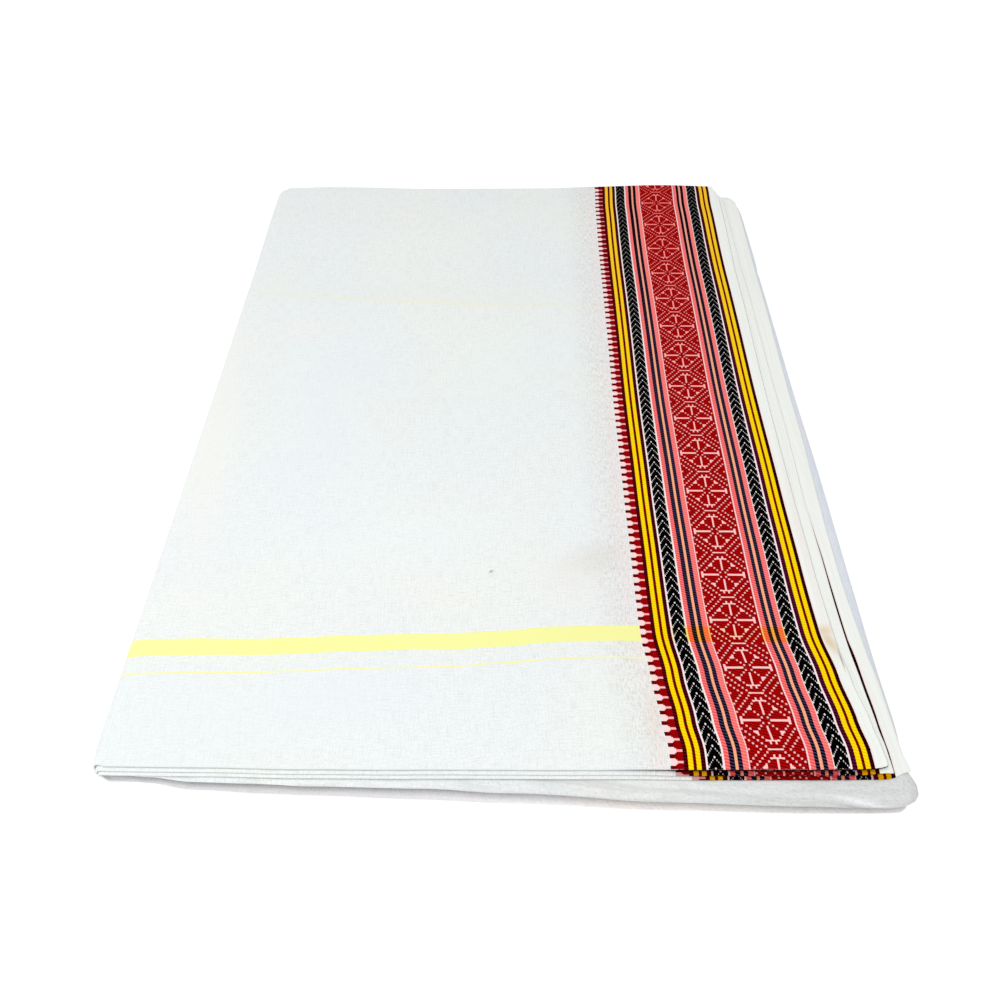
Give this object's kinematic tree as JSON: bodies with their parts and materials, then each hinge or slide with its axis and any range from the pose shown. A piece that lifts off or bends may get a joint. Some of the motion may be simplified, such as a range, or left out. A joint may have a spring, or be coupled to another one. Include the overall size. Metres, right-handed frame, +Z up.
{
  "type": "folded dhoti cloth",
  "caption": "White cotton dhoti cloth folded into a flat rectangular packet, with a woven coloured border along one side, a yellow end stripe and a thick rolled fold.",
  "frame": {"origin": "The middle of the packet's underside, on the surface it lies on.", "axes": "+Y runs along the packet's length towards its closed far fold, +X towards the side with the woven border, +Z up."},
  "size_m": [0.3264, 0.4646, 0.0214],
  "materials": {
    "bordered_cotton": "matt plain-woven white cotton with a satin-faced red, black and yellow woven border",
    "second_leaf_cotton": "matt plain-woven white cotton with the same woven border",
    "third_leaf_cotton": "matt plain-woven white cotton with the same woven border",
    "rolled_cotton": "matt plain-woven white cotton, softly rolled"
  },
  "bodies": {
    "root": {"outer_leaf": "bordered_cotton", "second_leaf": "second_leaf_cotton", "third_leaf": "third_leaf_cotton", "folded_core": "rolled_cotton"}
  },
  "joints": []
}
